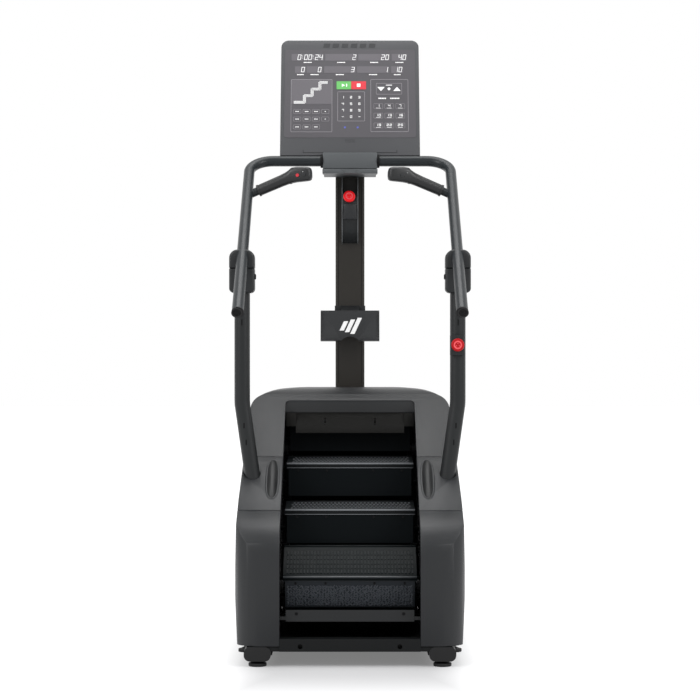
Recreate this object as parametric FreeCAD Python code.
import FreeCAD, Part
import math
import os

# Stair climber: a step mill whose wedge shaped steps ride two roller chains round two
# pairs of sprockets. Millimetres. While modelling, Y = 0 is the rear face of the covers,
# where the user steps on, +Y runs forward to the console and Z = 0 is the floor.
# save() moves everything back by FOOTPRINT_CENTRE_Y, so the origin is on the floor under
# the middle of the footprint.

V = FreeCAD.Vector
X_AXIS = V(1, 0, 0)
Y_AXIS = V(0, 1, 0)
Z_AXIS = V(0, 0, 1)

# ---- driving dimensions ----
FOOTPRINT_CENTRE_Y = 541.0
CHAIN_LINK = 19.05            # three-quarter inch roller chain
LINKS_PER_STEP = 13
STEP_PITCH = LINKS_PER_STEP * CHAIN_LINK
SPROCKET_TEETH = 2 * LINKS_PER_STEP
SPROCKET_RADIUS = STEP_PITCH / math.pi      # half a turn carries the chain one step
RUN_LENGTH = 3 * STEP_PITCH
SLOPE = 38.7                  # climb of the stairs, degrees
REST_TURN = 26.9              # how far the lowest step has turned round the lower shaft
LOWER_SHAFT = V(0, 256.5, 253.2)

TREAD_DEPTH = 180.0
TREAD_HALF_WIDTH = 233.5
TREAD_THICKNESS = 12.0
NOSING_HEIGHT = 19.0
TREAD_TILT = 4.64             # treads lie this much nose down, degrees
AXLE_BEHIND_NOSING = 101.3
AXLE_BELOW_TREAD = 83.4
RISER_LENGTH = 118.0
RISER_HALF_WIDTH = 226.0
RISER_SWEEP = 20.0            # the riser's foot stands this far out beyond the nosing

CHAIN_X = 262.0
FRAME_PLATE_X = 282.0
FRAME_PLATE_THICKNESS = 6.0
SHAFT_RADIUS = 15.0
RUNNING_GAP = 0.05

COVER_WALL = 3.5
COVER_GAP = 1.0
COVER_BOTTOM = 70.5
COVER_TOP = 945.7
COVER_FRONT = 1150.0
COVER_HALF_WIDTH = 401.0
BAY_HALF_WIDTH = 243.8
BAY_EDGE_DEPTH = 46.0
LOWER_SEAM = 530.0
UPPER_SEAM = 705.0
FRONT_SEAM = 1060.0
BAY_TOP_Y = 665.0
BAY_TOP_Z = 903.6

RAIL_RADIUS = 20.5
RAIL_WALL = 3.0
RAIL_TOP = V(388, 860, 1827)
RAIL_END = V(384, -52, 1224)
POST_RADIUS = 28.0
POST_X = 388.0
POST_Y = 300.0
POST_FOOT = V(320, POST_Y, 420)
POST_BEND = V(POST_X, POST_Y, 900)
POST_TOP = V(POST_X, POST_Y, 1431)

COLUMN_HALF_WIDTH = 57.75
COLUMN_BACK = 1065.0          # the column's face towards the user
COLUMN_DEPTH = 70.0
COLUMN_FOOT = 109.0
COLUMN_TOP = 1900.0
CONSOLE_HALF_WIDTH = 272.5
CONSOLE_BOTTOM = V(0, 860, 1849.5)
CONSOLE_LENGTH = 504.0
CONSOLE_LEAN = 19.7           # degrees back from upright
CONSOLE_THICKNESS = 45.0
FASCIA_THICKNESS = 6.0

BASE_RAIL_X = 320.0
BASE_RAIL_WIDTH = 93.0
BASE_RAIL_BOTTOM = 19.0
BASE_RAIL_TOP = 69.0
BASE_RAIL_ROUND = 21.0
BASE_RAIL_FRONT = 1135.0
FOOT_Y = (32.0, 1040.0)
FOOT_PAD_RADIUS = 31.5
FOOT_STEM_RADIUS = 6.0
OUTRIGGER_X = 378.0
OUTRIGGER_Y = 354.0
PAN_HALF_WIDTH = 271.0
PAN_STEP_Y = 160.0
PAN_FRONT = 1066.0
WHEEL_CENTRE = V(0, 1105, 34)
WHEEL_RADIUS = 25.0
WHEEL_AXLE_RADIUS = 6.0

DRIVE_PULLEY_RADIUS = 110.0
BRAKE_PULLEY_RADIUS = 27.5
BRAKE = V(0, 900, 230)
BELT_X = 313.0
BELT_WIDTH = 20.0
BELT_THICKNESS = 4.0
PULLEY_GAP = 0.3

STOP_RADIUS = 23.5
STOP_TRAVEL = 5.0
KEY_TRAVEL = 1.2


# ---- helpers ----
def block(x0, x1, y0, y1, z0, z1):
    return Part.makeBox(x1 - x0, y1 - y0, z1 - z0, V(x0, y0, z0))


def face_from(points):
    corners = list(points) + [points[0]]
    return Part.Face(Part.makePolygon(corners))


def side_plate(outline, x0, x1):
    """A plate between x0 and x1 whose (y, z) outline is given."""
    return face_from([V(x0, y, z) for y, z in outline]).extrude(V(x1 - x0, 0, 0))


def inset_corners(corners, inset):
    """Moves every side of a counter-clockwise outline of (a, b, round) inwards."""
    moved = []
    count = len(corners)
    for index in range(count):
        before = corners[index - 1]
        here = corners[index]
        after = corners[(index + 1) % count]
        first = V(here[0] - before[0], here[1] - before[1], 0).normalize()
        second = V(after[0] - here[0], after[1] - here[1], 0).normalize()
        first_normal = V(-first.y, first.x, 0)
        second_normal = V(-second.y, second.x, 0)
        shift = (first_normal + second_normal) * (inset / (1 + first_normal.dot(second_normal)))
        turns_left = first.cross(second).z > 0
        rounding = here[2]
        if rounding:
            rounding = max(rounding + (-inset if turns_left else inset), 1.0)
        moved.append((here[0] + shift.x, here[1] + shift.y, rounding))
    return moved


def rounded_face(corners, place):
    """A face from corners (a, b, round); place turns (a, b) into a point in space."""
    edges = []
    count = len(corners)
    ends = []
    for index in range(count):
        before = place(*corners[index - 1][:2])
        here = place(*corners[index][:2])
        after = place(*corners[(index + 1) % count][:2])
        rounding = corners[index][2]
        if not rounding:
            ends.append((here, here))
            continue
        into = (here - before).normalize()
        out = (after - here).normalize()
        turn = into.getAngle(out)
        setback = rounding * math.tan(turn / 2)
        bisector = (out - into).normalize()
        middle = here + bisector * (rounding / math.cos(turn / 2) - rounding)
        ends.append((here - into * setback, here + out * setback))
        edges.append(Part.Arc(ends[-1][0], middle, ends[-1][1]).toShape())
    for index in range(count):
        edges.append(Part.LineSegment(ends[index - 1][1], ends[index][0]).toShape())
    return Part.Face(Part.Wire(Part.__sortEdges__(edges)))


def rounded_side_plate(corners, x0, x1):
    return rounded_face(corners, lambda y, z: V(x0, y, z)).extrude(V(x1 - x0, 0, 0))


def rod(centre, radius, x0, x1):
    return Part.makeCylinder(radius, x1 - x0, V(x0, centre.y, centre.z), X_AXIS)


def bar(start, end, radius):
    return Part.makeCylinder(radius, (end - start).Length, start, end - start)


def fuse_all(solids):
    return solids[0].multiFuse(solids[1:]).removeSplitter()


def mirrored(shape):
    return shape.mirror(V(0, 0, 0), X_AXIS)


def edges_along(shape, direction, test):
    """Straight edges parallel to direction whose middle passes test."""
    found = []
    for edge in shape.Edges:
        if len(edge.Vertexes) == 2:
            span = edge.Vertexes[1].Point - edge.Vertexes[0].Point
            straight = span.Length > 1 and abs(span.getAngle(direction)) % math.pi < 0.01
            backward = span.Length > 1 and abs(abs(span.getAngle(direction)) - math.pi) < 0.01
            if (straight or backward) and test(edge.CenterOfMass):
                found.append(edge)
    return found


def everywhere(point):
    return True


def bent_path(start, corner, end, radius):
    """Two straight runs joined by one arc."""
    into = (corner - start).normalize()
    out = (end - corner).normalize()
    turn = into.getAngle(out)
    setback = radius * math.tan(turn / 2)
    arc_start = corner - into * setback
    arc_end = corner + out * setback
    bisector = (out - into).normalize()
    centre = corner + bisector * (radius / math.cos(turn / 2))
    arc_middle = centre - bisector * radius
    arc = Part.Arc(arc_start, arc_middle, arc_end).toShape()
    first = Part.LineSegment(start, arc_start).toShape()
    last = Part.LineSegment(arc_end, end).toShape()
    return Part.Wire([first, arc, last])


def swept_rod(path, start, direction, radius):
    ring = Part.Wire(Part.makeCircle(radius, start, direction))
    return path.makePipeShell([ring], True, True)


def bent_tube(start, corner, end, bend_radius, radius, wall):
    path = bent_path(start, corner, end, bend_radius)
    direction = corner - start
    outer = swept_rod(path, start, direction, radius)
    bore = swept_rod(path, start, direction, radius - wall)
    return outer.cut(bore)


def along_slope(distance, height=0.0):
    """A (y, z) step: distance up the slope and height square to it."""
    slope = math.radians(SLOPE)
    return V(0, distance * math.cos(slope) - height * math.sin(slope),
             distance * math.sin(slope) + height * math.cos(slope))


UPPER_SHAFT = LOWER_SHAFT + along_slope(RUN_LENGTH)


# ---- covers ----
def side_profile():
    """The covers seen from the side, counter-clockwise in (y, z)."""
    return [(0, 20, 0), (COVER_FRONT, 20, 0), (COVER_FRONT, COVER_TOP, 95), (BAY_TOP_Y + 62, COVER_TOP, 120),
            (0, 441.4, 150)]


def front_profile():
    """The covers seen from the rear: sides that lean in with height under a softly crowned top."""
    half = COVER_HALF_WIDTH
    right = [(half - 12, 20, 0), (half, 240, 400), (half, 330, 400), (half - 6, 560, 800), (half - 24, 860, 300),
             (half - 30, 908, 55), (half - 101, 936, 250), (half - 201, COVER_TOP, 900)]
    left = [(-x, z, rounding) for x, z, rounding in reversed(right)]
    return right + left


def plan_profile():
    """The covers seen from above: only the four rounded corners touch the other two outlines."""
    half = COVER_HALF_WIDTH + 0.4
    front = COVER_FRONT + 0.4
    return [(-half, -0.4, 92), (half, -0.4, 92), (half, front, 75), (-half, front, 75)]


def envelope(inset):
    reach = COVER_HALF_WIDTH + 20
    side = rounded_side_plate(inset_corners(side_profile(), inset), -reach, reach)
    front = rounded_face(inset_corners(front_profile(), inset), lambda x, z: V(x, -50, z))
    plan = rounded_face(inset_corners(plan_profile(), inset), lambda x, y: V(x, y, 0))
    body = side.common(front.extrude(V(0, COVER_FRONT + 100, 0)))
    return body.common(plan.extrude(V(0, 0, 1000)))


def stair_bay():
    """The trough that the user climbs in, open to the rear and above."""
    bay = side_plate([(-20, 0), (500, 0), (500, 600), (BAY_TOP_Y, 850), (BAY_TOP_Y, 1000), (-20, 1000)],
                     -BAY_HALF_WIDTH, BAY_HALF_WIDTH)
    return bay.makeFillet(18, edges_along(bay, Z_AXIS, lambda p: p.y > BAY_TOP_Y - 1))


def bay_edge():
    """The right-hand return of the covers along the bay, BAY_EDGE_DEPTH deep."""
    x0 = BAY_HALF_WIDTH
    x1 = BAY_HALF_WIDTH + COVER_WALL
    outer = rounded_side_plate(side_profile(), x0, x1)
    inner = rounded_side_plate(inset_corners(side_profile(), BAY_EDGE_DEPTH), x0 - 5, x1 + 5)
    return outer.cut(inner).common(block(0, 400, -10, BAY_TOP_Y, COVER_BOTTOM, 1000))


def cover_shell():
    skin = envelope(0).cut(envelope(COVER_WALL))
    return skin.cut(stair_bay())


def side_cover(shell, z0, z1):
    """One right-hand cover between two seams."""
    zone = block(BAY_HALF_WIDTH, 500, -50, FRONT_SEAM, z0, z1)
    return fuse_all([shell.common(zone), bay_edge().common(zone)])


def post_hole():
    return bar(POST_FOOT, POST_BEND, POST_RADIUS + 1.5)


def lower_cover(shell):
    return side_cover(shell, COVER_BOTTOM, LOWER_SEAM - COVER_GAP / 2)


def shoulder_cover(shell):
    cover = side_cover(shell, LOWER_SEAM + COVER_GAP / 2, UPPER_SEAM - COVER_GAP / 2)
    return cover.cut(post_hole())


def top_cover(shell):
    """The arch over the head of the stairs, with a panel that turns down into the bay."""
    zone = block(-500, 500, -50, FRONT_SEAM, UPPER_SEAM + COVER_GAP / 2, 1000)
    panel = side_plate([(BAY_TOP_Y, BAY_TOP_Z - 6), (BAY_TOP_Y - 5, 857), (BAY_TOP_Y - 1.5, 857),
                        (BAY_TOP_Y + 3.5, BAY_TOP_Z - 3)], -BAY_HALF_WIDTH, BAY_HALF_WIDTH)
    edges = bay_edge().common(zone)
    return fuse_all([shell.common(zone), edges, mirrored(edges), panel])


def front_cover(shell):
    """The front of the covers, with a square hole that the column passes through."""
    zone = block(-500, 500, FRONT_SEAM + COVER_GAP, COVER_FRONT + 1, COVER_BOTTOM, 1000)
    x = COLUMN_HALF_WIDTH + 1.2
    hole = block(-x, x, COLUMN_BACK - 1.2, COLUMN_BACK + COLUMN_DEPTH + 1.2, 800, 1000)
    return shell.common(zone).cut(hole)


def top_guard():
    """A slotted plate that closes the gap over the top step, between two side blocks."""
    plate = side_plate([(570, 783), (573, 781.5), (658, 853.5), (655, 856)], -203, 203)
    for x in (-94, 94):
        plate = plate.cut(block(x - 2, x + 2, 560, 700, 812, 836))
    solids = [plate]
    for side in (-1, 1):
        x_ends = sorted((side * 203, side * 240))
        solids.append(side_plate([(600, 806), (640, 820), (658, 853.5), (645, 856), (630, 856)],
                                 x_ends[0], x_ends[1]))
    return fuse_all(solids)


def kick_plate():
    """The plate under the lowest step, on two arms that reach out to the frame plates."""
    plate = block(-223, 223, 45, 48, 151, 191)
    for x in (-185, 185):
        plate = plate.cut(Part.makeCylinder(2.6, 10, V(x, 40, 176), Y_AXIS))
    solids = [plate]
    for side in (-1, 1):
        x_ends = sorted((side * 205, side * FRAME_PLATE_X))
        solids.append(block(x_ends[0], x_ends[1], 48, 54, 156, 168))
    return fuse_all(solids)


# ---- base, frame plates, bearings ----
def rail_section(inset):
    half = BASE_RAIL_WIDTH / 2
    corners = [(BASE_RAIL_X - half, BASE_RAIL_BOTTOM, BASE_RAIL_ROUND),
               (BASE_RAIL_X + half, BASE_RAIL_BOTTOM, BASE_RAIL_ROUND),
               (BASE_RAIL_X + half, BASE_RAIL_TOP, BASE_RAIL_ROUND),
               (BASE_RAIL_X - half, BASE_RAIL_TOP, BASE_RAIL_ROUND)]
    return inset_corners(corners, inset)


def rail_solid(inset, y0, y1):
    face = rounded_face(rail_section(inset), lambda x, z: V(x, y0, z))
    return face.extrude(V(0, y1 - y0, 0))


def both_rails_filled():
    one = rail_solid(0, -5, BASE_RAIL_FRONT + 5)
    return Part.makeCompound([one, mirrored(one)])


def base_rail():
    """A flat-sided round tube along the floor, bored for the stems of its feet."""
    tube = rail_solid(0, 5, BASE_RAIL_FRONT).cut(rail_solid(3, 0, BASE_RAIL_FRONT + 5))
    for y in FOOT_Y:
        tube = tube.cut(Part.makeCylinder(FOOT_STEM_RADIUS, 40, V(BASE_RAIL_X, y, 0)))
    arm = block(BASE_RAIL_X + 40, OUTRIGGER_X + 14, OUTRIGGER_Y - 12, OUTRIGGER_Y + 12, 38, 50)
    arm = arm.cut(rail_solid(0, 0, BASE_RAIL_FRONT))
    return fuse_all([tube, arm])


def rail_caps():
    """Moulded plugs in the rear and front ends of the base rails."""
    solids = []
    for y0, y1, plug0, plug1 in ((0, 5, 5, 22), (BASE_RAIL_FRONT, BASE_RAIL_FRONT + 5,
                                                BASE_RAIL_FRONT - 17, BASE_RAIL_FRONT)):
        cap = fuse_all([rail_solid(0, y0, y1), rail_solid(3, plug0, plug1)])
        solids += [cap, mirrored(cap)]
    return Part.makeCompound(solids)


def rear_crossbeam():
    """Joins the rails behind the user, with two bolt holes for fixing the machine down."""
    beam = block(-BAY_HALF_WIDTH + 0.3, BAY_HALF_WIDTH - 0.3, 0, 50, 53, 96.5)
    reach = block(-300, 300, 5, 50, 53, 68)
    beam = fuse_all([beam, reach]).cut(both_rails_filled())
    for x in (-172, 172):
        beam = beam.cut(Part.makeCylinder(8.5, 30, V(x, -1, 70.5), Y_AXIS))
    return beam


def front_crossbeam():
    """Lies across the rails under the column; four lugs below it hold the wheel axle."""
    solids = [block(-336, 336, 1060, 1140, BASE_RAIL_TOP, COLUMN_FOOT)]
    for x in (-264, -222, 218, 260):
        solids.append(block(x, x + 4, WHEEL_CENTRE.y - 12, WHEEL_CENTRE.y + 12, 22, BASE_RAIL_TOP))
    beam = fuse_all(solids)
    return beam.cut(rod(WHEEL_CENTRE, WHEEL_AXLE_RADIUS + RUNNING_GAP, -300, 300))


def brake_crossbeam():
    return block(-FRAME_PLATE_X, FRAME_PLATE_X, 870, 930, 34, 69).cut(both_rails_filled())


def belly_pan():
    """A folded sheet between the rails that closes the bottom and catches what falls through."""
    floor = block(-PAN_HALF_WIDTH, PAN_HALF_WIDTH, PAN_STEP_Y, PAN_FRONT, 31, 33)
    step = block(-PAN_HALF_WIDTH, PAN_HALF_WIDTH, PAN_STEP_Y, PAN_STEP_Y + 2, 31, 55)
    shelf = block(-PAN_HALF_WIDTH, PAN_HALF_WIDTH, 50, PAN_STEP_Y + 2, 53, 55)
    rear_lip = block(-PAN_HALF_WIDTH, PAN_HALF_WIDTH, 50, 52, 53, 68)
    front_lip = block(-PAN_HALF_WIDTH, PAN_HALF_WIDTH, PAN_FRONT - 2, PAN_FRONT, 31, BASE_RAIL_TOP)
    return fuse_all([floor, step, shelf, rear_lip, front_lip])


def transport_wheels():
    """Two wheels on one axle, just clear of the floor until the machine is tipped."""
    axle = rod(WHEEL_CENTRE, WHEEL_AXLE_RADIUS, -267, 267)
    solids = [axle]
    for x in (-257, 223):
        wheel = rod(WHEEL_CENTRE, WHEEL_RADIUS, x, x + 34)
        wheel = wheel.makeFillet(4, [e for e in wheel.Edges if e.Closed])
        solids.append(wheel)
    return fuse_all(solids)


def frame_plate():
    """The right-hand steel plate that carries the shafts."""
    x0 = FRAME_PLATE_X
    x1 = FRAME_PLATE_X + FRAME_PLATE_THICKNESS
    outline = [(51, 50), (990, 50), (990, 700), (930, 850), (760, 850), (180, 430), (51, 300)]
    plate = side_plate(outline, x0, x1)
    holes = [(LOWER_SHAFT.y, LOWER_SHAFT.z, 24), (UPPER_SHAFT.y, UPPER_SHAFT.z, 24),
             (BRAKE.y, BRAKE.z, 14), (560, 240, 55), (700, 480, 50), (490, 440, 40)]
    for y, z, radius in holes:
        plate = plate.cut(rod(V(0, y, z), radius, x0 - 1, x1 + 1))
    return plate.cut(both_rails_filled())


def post_socket():
    """A block against the outside of the frame plate, bored for the foot of the post."""
    socket = block(FRAME_PLATE_X + FRAME_PLATE_THICKNESS, 352, POST_Y - 36, POST_Y + 36, 408, 462)
    return socket.cut(bar(POST_FOOT, POST_BEND, POST_RADIUS))


def bearings():
    """Four flanged bearings on the outer faces of the frame plates."""
    face_x = FRAME_PLATE_X + FRAME_PLATE_THICKNESS
    solids = []
    for centre in (LOWER_SHAFT, UPPER_SHAFT):
        flange = rod(centre, 42, face_x, face_x + 7)
        body = rod(centre, 27, face_x + 7, face_x + 18)
        bore = rod(centre, SHAFT_RADIUS + RUNNING_GAP, face_x - 1, face_x + 20)
        bearing = fuse_all([flange, body]).cut(bore)
        solids += [bearing, mirrored(bearing)]
    return Part.makeCompound(solids)


# ---- drive ----
def sprocket(centre):
    """One tooth per link, a hub on the inner side and a bore for the shaft."""
    thickness = 10.6
    root = SPROCKET_RADIUS - 6.5
    tip = SPROCKET_RADIUS + 4.5
    points = []
    for tooth in range(SPROCKET_TEETH):
        base = 2 * math.pi * tooth / SPROCKET_TEETH
        for offset, radius in ((-0.32, root), (-0.12, tip), (0.12, tip), (0.32, root)):
            angle = base + offset * 2 * math.pi / SPROCKET_TEETH
            points.append((centre.y + radius * math.cos(angle), centre.z + radius * math.sin(angle)))
    disc = side_plate(points, CHAIN_X - thickness / 2, CHAIN_X + thickness / 2)
    hub = rod(centre, 30, CHAIN_X - 22, CHAIN_X - thickness / 2)
    bore = rod(centre, SHAFT_RADIUS, CHAIN_X - 30, CHAIN_X + 30)
    lightening = []
    for hole in range(6):
        angle = math.pi * hole / 3
        spot = V(0, centre.y + 50 * math.cos(angle), centre.z + 50 * math.sin(angle))
        lightening.append(rod(spot, 11, CHAIN_X - 30, CHAIN_X + 30))
    return fuse_all([disc, hub]).cut(bore).cut(Part.makeCompound(lightening))


def sprocket_pair(centre):
    one = sprocket(centre)
    return Part.makeCompound([one, mirrored(one)])


def two_circle_hull(first, first_radius, second, second_radius, x0, x1):
    """The solid inside a loop drawn tight round two circles."""
    span = second - first
    lean = math.asin((first_radius - second_radius) / span.Length)
    heading = math.atan2(span.z, span.y)
    corners = []
    for side in (1, -1):
        angle = heading + side * (math.pi / 2 - lean)
        normal = V(0, math.cos(angle), math.sin(angle))
        corners.append((first + normal * first_radius, second + normal * second_radius))
    (a, b), (d, c) = corners
    body = side_plate([(a.y, a.z), (b.y, b.z), (c.y, c.z), (d.y, d.z)], x0, x1)
    return fuse_all([body, rod(first, first_radius, x0, x1), rod(second, second_radius, x0, x1)])


def chain():
    """One chain: two bands of link plates with rollers between them on the straight runs."""
    band_half_height = 8.0
    gap_half = 5.8
    plate = 2.4
    solids = []
    for x0 in (CHAIN_X - gap_half - plate, CHAIN_X + gap_half):
        outer = two_circle_hull(LOWER_SHAFT, SPROCKET_RADIUS + band_half_height, UPPER_SHAFT,
                                SPROCKET_RADIUS + band_half_height, x0, x0 + plate)
        inner = two_circle_hull(LOWER_SHAFT, SPROCKET_RADIUS - band_half_height, UPPER_SHAFT,
                                SPROCKET_RADIUS - band_half_height, x0 - 1, x0 + plate + 1)
        solids.append(outer.cut(inner))
    first_link = 3
    last_link = 3 * LINKS_PER_STEP - first_link
    for link in range(first_link, last_link + 1):
        for height in (SPROCKET_RADIUS, -SPROCKET_RADIUS):
            spot = LOWER_SHAFT + along_slope(link * CHAIN_LINK, height)
            solids.append(rod(spot, 5.9, CHAIN_X - gap_half, CHAIN_X + gap_half))
    return solids[0].multiFuse(solids[1:])


def step_chains():
    one = chain()
    return Part.makeCompound([one, mirrored(one)])


def lower_shaft():
    return rod(LOWER_SHAFT, SHAFT_RADIUS, -310, 310)


def upper_shaft():
    return rod(UPPER_SHAFT, SHAFT_RADIUS, -310, BELT_X + BELT_WIDTH + 4)


def drive_pulley():
    rim = rod(UPPER_SHAFT, DRIVE_PULLEY_RADIUS, BELT_X, BELT_X + BELT_WIDTH)
    dish = rod(UPPER_SHAFT, DRIVE_PULLEY_RADIUS - 12, BELT_X + 6, BELT_X + BELT_WIDTH + 1)
    hub = rod(UPPER_SHAFT, 28, BELT_X + 5, BELT_X + BELT_WIDTH)
    return fuse_all([rim.cut(dish), hub]).cut(rod(UPPER_SHAFT, SHAFT_RADIUS, BELT_X - 1, BELT_X + 30))


def brake_pulley():
    shaft = rod(BRAKE, 8, 277, BELT_X)
    wheel = rod(BRAKE, BRAKE_PULLEY_RADIUS, BELT_X, BELT_X + BELT_WIDTH)
    return fuse_all([shaft, wheel])


def drive_belt():
    outer = two_circle_hull(UPPER_SHAFT, DRIVE_PULLEY_RADIUS + PULLEY_GAP + BELT_THICKNESS, BRAKE,
                            BRAKE_PULLEY_RADIUS + PULLEY_GAP + BELT_THICKNESS, BELT_X, BELT_X + BELT_WIDTH)
    inner = two_circle_hull(UPPER_SHAFT, DRIVE_PULLEY_RADIUS + PULLEY_GAP, BRAKE,
                            BRAKE_PULLEY_RADIUS + PULLEY_GAP, BELT_X - 1, BELT_X + BELT_WIDTH + 1)
    return outer.cut(inner)


def brake_unit():
    """The braking generator, on a foot bolted to the cross member."""
    body = rod(BRAKE, 75, 150, 264)
    nose = rod(BRAKE, 40, 264, 276)
    foot = block(160, 260, 872, 928, BASE_RAIL_TOP, 200)
    return fuse_all([body, nose, foot])


# ---- steps, drawn with the nosing's top edge at (0, 0) and the tread along +Y ----
def tread_blank():
    """Cast tread with a deep nosing, ribs on top and an end bracket down to the chain on each side."""
    outline = [(0, -NOSING_HEIGHT), (22, -NOSING_HEIGHT), (30, -TREAD_THICKNESS), (TREAD_DEPTH, -TREAD_THICKNESS),
               (TREAD_DEPTH, 3), (TREAD_DEPTH - 4, 3), (TREAD_DEPTH - 6, -1.5), (14, -1.5), (14, 0), (0, 0)]
    body = side_plate(outline, -TREAD_HALF_WIDTH, TREAD_HALF_WIDTH)
    bracket_outline = [(40, -TREAD_THICKNESS), (168, -TREAD_THICKNESS), (168, -26),
                       (AXLE_BEHIND_NOSING + 20, -AXLE_BELOW_TREAD - 14),
                       (AXLE_BEHIND_NOSING - 20, -AXLE_BELOW_TREAD - 14), (40, -30)]
    solids = [body]
    axle = V(0, AXLE_BEHIND_NOSING, -AXLE_BELOW_TREAD)
    for side in (-1, 1):
        inner = side * (TREAD_HALF_WIDTH - 8)
        outer = side * TREAD_HALF_WIDTH
        pin_end = side * (CHAIN_X - 9)
        solids.append(side_plate(bracket_outline, min(inner, outer), max(inner, outer)))
        solids.append(rod(axle, 7, min(outer, pin_end), max(outer, pin_end)))
    return fuse_all(solids)


def riser_blank():
    """A plate that hangs from the nosing, sweeps out towards the user and folds back at its foot."""
    foot = 2 - RISER_SWEEP
    outline = [(2, -NOSING_HEIGHT), (5.2, -NOSING_HEIGHT), (foot + 4, -RISER_LENGTH + 3),
               (foot + 16, -RISER_LENGTH + 6), (foot + 16, -RISER_LENGTH + 3), (foot, -RISER_LENGTH)]
    return side_plate(outline, -RISER_HALF_WIDTH, RISER_HALF_WIDTH)


def on_climbing_run(blank, distance):
    """Puts a step blank on the upper run, its axle distance up from the lower shaft."""
    shape = blank.copy()
    shape.translate(V(0, -AXLE_BEHIND_NOSING, AXLE_BELOW_TREAD))
    shape.rotate(V(0, 0, 0), X_AXIS, TREAD_TILT)
    shape.translate(LOWER_SHAFT + along_slope(distance, SPROCKET_RADIUS))
    return shape


def turned(shape, centre, angle):
    shape.rotate(centre, X_AXIS, angle)
    return shape


def on_lower_turn(blank):
    return turned(on_climbing_run(blank, 0), LOWER_SHAFT, REST_TURN)


def on_return_run(blank, distance):
    shape = turned(on_climbing_run(blank, 0), LOWER_SHAFT, 180)
    shape.translate(along_slope(distance))
    return shape


def on_upper_turn(blank):
    return turned(on_return_run(blank, RUN_LENGTH), UPPER_SHAFT, REST_TURN)


REST_TRAVEL = SPROCKET_RADIUS * math.radians(REST_TURN)


def climbing(blank, count):
    return on_climbing_run(blank, count * STEP_PITCH - REST_TRAVEL)


def returning(blank):
    return Part.makeCompound([on_return_run(blank, REST_TRAVEL + count * STEP_PITCH) for count in range(3)])


def save_steps():
    tread = tread_blank()
    riser = riser_blank()
    save("lowest_tread", on_lower_turn(tread))
    save("lowest_riser", on_lower_turn(riser))
    save("second_tread", climbing(tread, 1))
    save("third_tread", climbing(tread, 2))
    save("fourth_tread", climbing(tread, 3))
    save("climbing_risers", Part.makeCompound([climbing(riser, count) for count in (1, 2, 3)]))
    save("return_treads", returning(tread))
    save("return_risers", returning(riser))
    save("upper_turn_tread", on_upper_turn(tread))
    save("upper_turn_riser", on_upper_turn(riser))


# ---- handrails and posts, drawn on the right ----
def handrail():
    start = V(64, RAIL_TOP.y, RAIL_TOP.z)
    return bent_tube(start, RAIL_TOP, RAIL_END, 90, RAIL_RADIUS, RAIL_WALL)


def rail_end_cap():
    along = (RAIL_END - RAIL_TOP).normalize()
    plug = bar(RAIL_END - along * 20, RAIL_END, RAIL_RADIUS - RAIL_WALL)
    cap = bar(RAIL_END, RAIL_END + along * 5, RAIL_RADIUS + 1)
    return fuse_all([plug, cap])


def rail_end_caps():
    one = rail_end_cap()
    return Part.makeCompound([one, mirrored(one)])


def post():
    tube = bent_tube(POST_FOOT, POST_BEND, POST_TOP, 220, POST_RADIUS, 3)
    return tube.cut(bar(RAIL_END, RAIL_TOP, RAIL_RADIUS))


def rail_height(y):
    return RAIL_END.z + (RAIL_TOP.z - RAIL_END.z) * (y - RAIL_END.y) / (RAIL_TOP.y - RAIL_END.y)


def joint_cover():
    """A moulded saddle on the post's head whose sloping top cradles the rail."""
    y0 = POST_Y - 46
    y1 = POST_Y + 46
    outline = [(y0 + 10, 1298), (y1 - 10, 1298), (y1, 1310), (y1, rail_height(y1)), (y0, rail_height(y0)),
               (y0, 1310)]
    body = side_plate(outline, POST_X - 45, POST_X + 45)
    body = body.makeFillet(22, edges_along(body, Z_AXIS, everywhere))
    body = body.cut(bar(RAIL_END, RAIL_TOP, RAIL_RADIUS))
    return body.cut(bar(POST_BEND, POST_TOP, POST_RADIUS))


GRIP_ROOT = V(372, 650, 1684)
GRIP_ELBOW = V(226, 640, 1746)
GRIP_END = V(168, 628, 1755)
POD_RADIUS = 24.0
KEY_RADIUS = 6.5
KEY_BORE_FLOOR = 15.5


def grip_key_seat(share):
    """Where a key's axis meets the middle of the pod, share of the way to its end."""
    return GRIP_ELBOW + (GRIP_END - GRIP_ELBOW) * share


def grip_key(share):
    seat = grip_key_seat(share)
    inner_end = KEY_BORE_FLOOR + KEY_TRAVEL + RUNNING_GAP
    return bar(seat - Y_AXIS * inner_end, seat - Y_AXIS * (POD_RADIUS + 3), KEY_RADIUS - 0.3)


def grip(key_shares):
    """A hand grip that reaches in from the rail and ends in a control pod with bores for its keys."""
    along = (GRIP_ELBOW - GRIP_ROOT).normalize()
    stub = bar(GRIP_ROOT - along * 4, GRIP_ELBOW, 15.5)
    sleeve = bar(GRIP_ROOT + along * 26, GRIP_ELBOW, 20.5)
    pod = bar(GRIP_ELBOW, GRIP_END, POD_RADIUS)
    ends = [Part.makeSphere(POD_RADIUS, GRIP_ELBOW), Part.makeSphere(POD_RADIUS, GRIP_END)]
    shape = fuse_all([stub, sleeve, pod] + ends)
    shape = shape.cut(bar(RAIL_END, RAIL_TOP, RAIL_RADIUS))
    for share in key_shares:
        seat = grip_key_seat(share)
        shape = shape.cut(bar(seat - Y_AXIS * KEY_BORE_FLOOR, seat - Y_AXIS * 60, KEY_RADIUS))
    return shape


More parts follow.
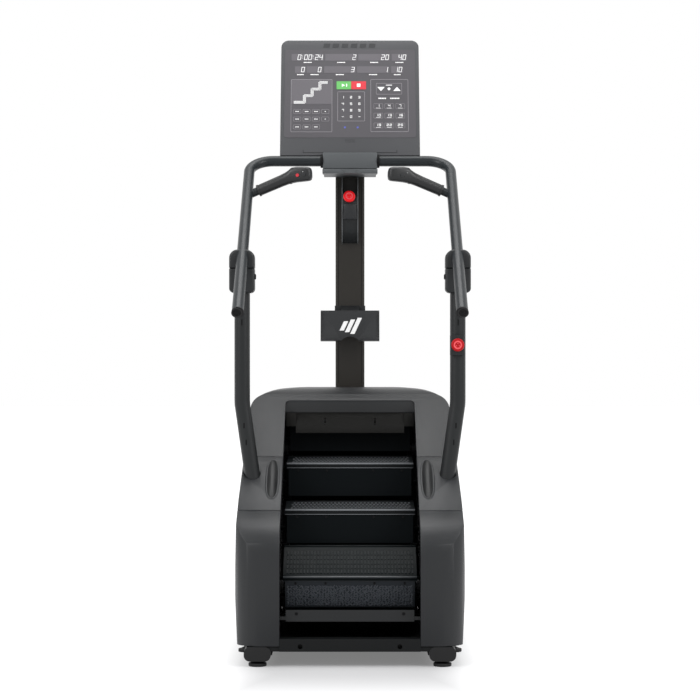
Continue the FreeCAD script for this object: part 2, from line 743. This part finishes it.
# ---- column, head, console ----
def column():
    """A box section mast with a wedge on top that carries the console."""
    x = COLUMN_HALF_WIDTH
    front = COLUMN_BACK + COLUMN_DEPTH
    mast = block(-x, x, COLUMN_BACK, front, COLUMN_FOOT, COLUMN_TOP)
    mast = mast.makeFillet(8, edges_along(mast, Z_AXIS, everywhere))
    bore = block(-x + 4, x - 4, COLUMN_BACK + 4, front - 4, COLUMN_FOOT - 1, COLUMN_TOP - 6)
    wedge = side_plate([(console_back_y(1875), 1875), (COLUMN_BACK, 1875), (front, COLUMN_TOP),
                        (front, 1960), (console_back_y(2080) + 30, 2080), (console_back_y(2080), 2080)], -50, 50)
    return fuse_all([mast.cut(bore), wedge])


def console_back_y(z):
    lean = math.radians(CONSOLE_LEAN)
    return CONSOLE_BOTTOM.y + (z - CONSOLE_BOTTOM.z) * math.tan(lean) + CONSOLE_THICKNESS / math.cos(lean)


def console_slab(half_width, bottom, top, y0, y1, corner):
    """A slab in the console's own plane, y0 and y1 behind its face, leaned back into place."""
    slab_shape = block(-half_width, half_width, y0, y1, bottom, top)
    upper = edges_along(slab_shape, Y_AXIS, lambda p: p.z > top - 1)
    slab_shape = slab_shape.makeFillet(corner, upper)
    slab_shape.rotate(V(0, 0, 0), X_AXIS, -CONSOLE_LEAN)
    slab_shape.translate(CONSOLE_BOTTOM)
    return slab_shape


def console_housing():
    outer = console_slab(CONSOLE_HALF_WIDTH, 0, CONSOLE_LENGTH, FASCIA_THICKNESS, CONSOLE_THICKNESS, 30)
    hollow = console_slab(CONSOLE_HALF_WIDTH - 4, 4, CONSOLE_LENGTH - 4, FASCIA_THICKNESS - 1,
                          CONSOLE_THICKNESS - 4, 26)
    return outer.cut(hollow)


def console_fascia():
    return console_slab(CONSOLE_HALF_WIDTH, 0, CONSOLE_LENGTH, 0, FASCIA_THICKNESS, 30)


def mast_head():
    """The moulded block on the column that both handrails plug into, under the console."""
    body = block(-107, 107, 838, COLUMN_BACK, 1778, 1859)
    body = body.makeFillet(8, edges_along(body, X_AXIS, lambda p: p.y < 840))
    body = body.makeFillet(6, edges_along(body, Y_AXIS, lambda p: p.z < 1780))
    head = body.cut(console_slab(CONSOLE_HALF_WIDTH, 0, CONSOLE_LENGTH, 0, CONSOLE_THICKNESS, 30))
    head = head.cut(block(-120, 120, 880, COLUMN_BACK + 1, 1842, 1900))
    for side in (-1, 1):
        x_ends = sorted((side * 64, side * 130))
        head = head.cut(rod(RAIL_TOP, RAIL_RADIUS, x_ends[0], x_ends[1]))
    return head


POD_STOP = V(-3, 977, 1694)
POST_STOP = V(POST_X - 3, POST_Y - POST_RADIUS - 14, 1111)
POD_STOP_AXIS = V(0, -math.cos(math.radians(18)), math.sin(math.radians(18)))


def stop_bore(seat, axis):
    return bar(seat + axis * 2, seat - axis * 22, 9 + RUNNING_GAP)


def stop_pod():
    """Two cheeks with a curved body between them that holds the stop button out from the column."""
    back = COLUMN_BACK
    cheek = [(back, 1517), (back - 34, 1524), (back - 64, 1560), (back - 82, 1614), (back - 92, 1660),
             (back - 84, 1722), (back - 62, 1778), (back, 1778)]
    middle = [(back, 1519), (back - 30, 1527), (back - 58, 1563), (back - 74, 1616), (back - 80, 1644),
              (back - 95, 1674), (back - 82, 1714), (back, 1714)]
    solids = [side_plate(cheek, -32.5, -28.5), side_plate(cheek, 28.5, 32.5),
              side_plate(middle, -28.5, 28.5)]
    return fuse_all(solids).cut(stop_bore(POD_STOP, POD_STOP_AXIS))


def stop_stem(seat, axis):
    """The plunger of a stop button, raised off its seat by its travel, with a spindle for the cap."""
    clear = STOP_TRAVEL + 1.0
    plunger = bar(seat - axis * 8, seat + axis * clear, 9)
    spindle = bar(seat + axis * clear, seat + axis * (clear + 8), 5)
    return fuse_all([plunger, spindle])


def stop_cap(seat, axis):
    clear = STOP_TRAVEL + 1.0
    head = bar(seat + axis * (clear + 0.2), seat + axis * (clear + 14), STOP_RADIUS)
    head = head.makeFillet(5, [e for e in head.Edges if e.Closed])
    return head.cut(bar(seat + axis * clear, seat + axis * (clear + 8.3), 5 + RUNNING_GAP))


def post_stop_box():
    """A shallow box on the right post with a saddle shaped back."""
    body = block(POST_STOP.x - 26, POST_STOP.x + 26, POST_STOP.y, POST_Y - 8, 1075, 1146)
    body = body.makeFillet(6, edges_along(body, Z_AXIS, lambda p: p.y < POST_Y - 20))
    body = body.cut(bar(POST_BEND, POST_TOP, POST_RADIUS))
    return body.cut(bar(POST_STOP - Y_AXIS, POST_STOP + Y_AXIS * 14, 9 + RUNNING_GAP))


TRAY_TOP = (1000, 1249.5)
TRAY_FOOT = (967, 1128)


def tray_core(half_width):
    return side_plate([TRAY_TOP, TRAY_FOOT, (TRAY_FOOT[0] + 4, TRAY_FOOT[1] - 1),
                       (TRAY_TOP[0] + 4, TRAY_TOP[1] - 1)], -half_width, half_width)


def tray_plate():
    """A folded tray for a phone or book, with side flanges and a lip split by a curved notch."""
    half = 116
    top_y, top_z = TRAY_TOP
    foot_y, foot_z = TRAY_FOOT
    plate = tray_core(half)
    flange = side_plate([(top_y + 3, top_z - 2), (top_y - 14, top_z - 6), (foot_y - 12, foot_z + 7),
                         (foot_y + 3, foot_z + 1)], half - 3, half)
    lip = side_plate([(foot_y + 3, foot_z + 0.5), (foot_y - 20, foot_z + 3), (foot_y - 19, foot_z + 14),
                      (foot_y - 16, foot_z + 13.5), (foot_y - 16.5, foot_z + 6.5), (foot_y + 2, foot_z + 4)],
                     1 - half, half - 1)
    tray = fuse_all([plate, flange, mirrored(flange), lip])
    return tray.cut(Part.makeCylinder(45, 80, V(0, foot_y - 40, foot_z - 27), Y_AXIS))


def tray_bracket():
    """A clamp band round the column and an arm out to the tray."""
    x = COLUMN_HALF_WIDTH
    y = COLUMN_BACK
    band = block(-x - 3, x + 3, y - 3, y + COLUMN_DEPTH + 3, 1246, 1270)
    band = band.cut(block(-x, x, y, y + COLUMN_DEPTH, 1200, 1300))
    arm = side_plate([(y - 3, 1270), (985, 1232), (976, 1168), (y - 3, 1150)], -36, 36)
    beyond = side_plate([(900, 1100), TRAY_FOOT, TRAY_TOP, (900, 1300)], -60, 60)
    lean = (TRAY_TOP[0] - TRAY_FOOT[0]) / (TRAY_TOP[1] - TRAY_FOOT[1])
    front = side_plate([(900, 1100), (TRAY_FOOT[0] + 4 - 27 * lean, 1100),
                        (TRAY_TOP[0] + 4 + 51.5 * lean, 1300), (900, 1300)], -60, 60)
    strap = block(-36, 36, y - 3, y, 1150, 1270)
    return fuse_all([band, arm.cut(beyond).cut(front), strap])


# ---- feet ----
def foot(spot, pad_radius, stem_top):
    """A round pad on a stem, locked by a nut under the rail."""
    pad = Part.makeCylinder(pad_radius, 11, V(spot.x, spot.y, 0))
    pad = pad.makeFillet(2, [e for e in pad.Edges if e.Closed])
    taper = Part.makeCone(pad_radius - 6, 10, 6, V(spot.x, spot.y, 11))
    stem = Part.makeCylinder(FOOT_STEM_RADIUS, stem_top - 15, V(spot.x, spot.y, 15))
    return fuse_all([pad, taper, stem])


def feet(spots, x, pad_radius, stem_top):
    solids = []
    for y in spots:
        one = foot(V(x, y, 0), pad_radius, stem_top)
        solids += [one, mirrored(one)]
    return Part.makeCompound(solids)


def save(name, shape):
    placed = shape.copy()
    placed.translate(V(0, -FOOTPRINT_CENTRE_Y, 0))
    placed.exportStep("parts/" + name + ".step")
    box = placed.BoundBox
    print("%-22s solids %d valid %s vol %.0f  x %.0f..%.0f y %.0f..%.0f z %.0f..%.0f" % (
        name, len(placed.Solids), placed.isValid(), placed.Volume,
        box.XMin, box.XMax, box.YMin, box.YMax, box.ZMin, box.ZMax))


def save_pair(kind, shape):
    save("right_" + kind, shape)
    save("left_" + kind, mirrored(shape))


def main():
    os.makedirs("parts", exist_ok=True)
    shell = cover_shell()
    save_pair("lower_cover", lower_cover(shell))
    save_pair("shoulder_cover", shoulder_cover(shell))
    save("top_cover", top_cover(shell))
    save("front_cover", front_cover(shell))
    save("top_guard", top_guard())
    save("kick_plate", kick_plate())
    rail = base_rail()
    save("base_rails", Part.makeCompound([rail, mirrored(rail)]))
    save("rail_caps", rail_caps())
    save("rear_crossbeam", rear_crossbeam())
    save("front_crossbeams", Part.makeCompound([front_crossbeam(), brake_crossbeam()]))
    save("belly_pan", belly_pan())
    right_side = [frame_plate(), post_socket()]
    save("frame_plates", Part.makeCompound(right_side + [mirrored(piece) for piece in right_side]))
    save("shaft_bearings", bearings())
    save("transport_wheels", transport_wheels())
    save("lower_shaft", lower_shaft())
    save("drive_shaft", upper_shaft())
    save("lower_sprockets", sprocket_pair(LOWER_SHAFT))
    save("drive_sprockets", sprocket_pair(UPPER_SHAFT))
    save("step_chains", step_chains())
    save("drive_pulley", drive_pulley())
    save("brake_pulley", brake_pulley())
    save("drive_belt", drive_belt())
    save("brake_unit", brake_unit())
    save_steps()
    save_pair("handrail", handrail())
    save("handrail_plugs", rail_end_caps())
    save_pair("post", post())
    saddle = joint_cover()
    save("joint_covers", Part.makeCompound([saddle, mirrored(saddle)]))
    save("right_grip", grip([0.5]))
    save("left_grip", mirrored(grip([0.48, 0.9])))
    save("right_grip_key", grip_key(0.5))
    save("left_grip_outer_key", mirrored(grip_key(0.48)))
    save("left_grip_inner_key", mirrored(grip_key(0.9)))
    save("column", column())
    save("mast_head", mast_head())
    save("console_housing", console_housing())
    save("console_face", console_fascia())
    save("column_stop_pod", stop_pod())
    save("column_stop_stem", stop_stem(POD_STOP, POD_STOP_AXIS))
    save("column_stop_cap", stop_cap(POD_STOP, POD_STOP_AXIS))
    save("post_stop_box", post_stop_box())
    save("post_stop_stem", stop_stem(POST_STOP, V(0, -1, 0)))
    save("post_stop_cap", stop_cap(POST_STOP, V(0, -1, 0)))
    save("tray", tray_plate())
    save("tray_clamp", tray_bracket())
    save("rail_feet", feet(FOOT_Y, BASE_RAIL_X, FOOT_PAD_RADIUS, 40))
    save("outrigger_feet", feet([OUTRIGGER_Y], OUTRIGGER_X, 27, 38))


main()
